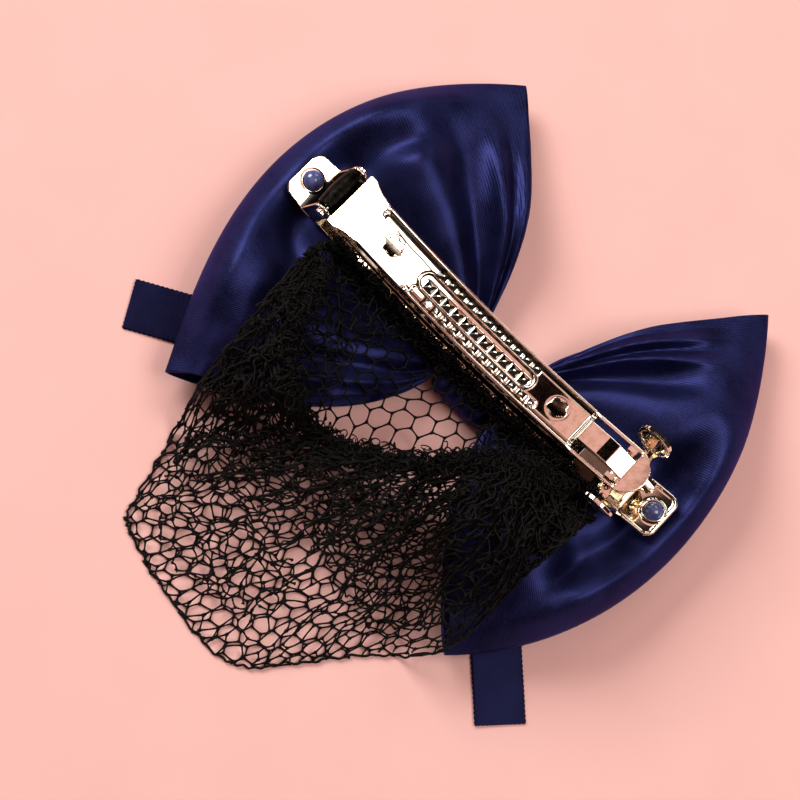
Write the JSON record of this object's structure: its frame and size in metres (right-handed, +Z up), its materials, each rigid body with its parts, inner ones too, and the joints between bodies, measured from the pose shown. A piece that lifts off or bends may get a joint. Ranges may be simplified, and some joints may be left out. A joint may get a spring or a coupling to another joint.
{
  "type": "hair bow barrette with snood net",
  "caption": "Folded satin hair bow on a curved spring barrette, with ribbon tails and a black net bag for a bun.",
  "frame": {"origin": "on the table, under the middle of the whole object as it lies face down", "axes": "+X runs along the clip from its hinge to its clasp, +Y points away from the net bag, +Z points up from the table to the wearer's head"},
  "size_m": [0.0954, 0.105, 0.0213],
  "materials": {
    "plated_plate": "pale gold nickel plating, bright",
    "plated_arm": "pale gold nickel plating, bright",
    "plated_spring": "yellowish plated spring steel",
    "plated_small": "plated, slightly worn",
    "clear_glue": "set clear glue that lets the navy satin show",
    "bow_satin": "navy satin with a soft sheen",
    "ribbon": "narrow navy satin ribbon with woven edges",
    "navy_thread": "matt thread",
    "net_yarn": "fine black knotted yarn",
    "net_elastic": "gathered black elastic",
    "black_thread": "matt thread"
  },
  "bodies": {
    "bow_and_plate": {"clip_base_plate": "plated_plate", "hinge_pin": "plated_small", "clasp_seat": "plated_spring", "clasp_rivet": "plated_small", "glue_dot_hinge_end": "clear_glue", "glue_dot_clasp_end": "clear_glue", "glue_bead_middle": "clear_glue", "bow_loop_left": "bow_satin", "bow_loop_right": "bow_satin", "knot_band": "bow_satin", "cinch_thread": "navy_thread", "ribbon_tail_left": "ribbon", "ribbon_tail_right": "ribbon", "net_bag": "net_yarn", "net_elastic": "net_elastic", "net_heading": "net_yarn", "heading_stitches": "black_thread"},
    "arm": {"clip_arm": "plated_arm"},
    "tension_leaf": {"tension_bar": "plated_spring"},
    "ear_upper": {"clasp_ear_upper": "plated_spring"},
    "ear_lower": {"clasp_ear_lower": "plated_spring"}
  },
  "joints": [
    {"name": "arm_hinge", "type": "hinge", "parent": "bow_and_plate", "child": "arm", "pos_m": [-0.03284, 0.01135, 0.0192], "axis": [0, -1, 0], "range_deg": [0, 75]},
    {"name": "tension_press", "type": "hinge", "parent": "bow_and_plate", "child": "tension_leaf", "pos_m": [-0.02916, 0.01135, 0.01167], "axis": [0, 1, 0], "range_deg": [0, 1.6], "stiffness_Nm_per_rad": 0.1},
    {"name": "ear_upper_flex", "type": "hinge", "parent": "bow_and_plate", "child": "ear_upper", "pos_m": [0.03168, 0.01515, 0.01208], "axis": [-0.9725, 0, -0.2331], "range_deg": [-3, 3], "stiffness_Nm_per_rad": 0.02},
    {"name": "ear_lower_flex", "type": "hinge", "parent": "bow_and_plate", "child": "ear_lower", "pos_m": [0.03168, 0.00755, 0.01208], "axis": [0.9725, 0, 0.2331], "range_deg": [-3, 3], "stiffness_Nm_per_rad": 0.02}
  ]
}
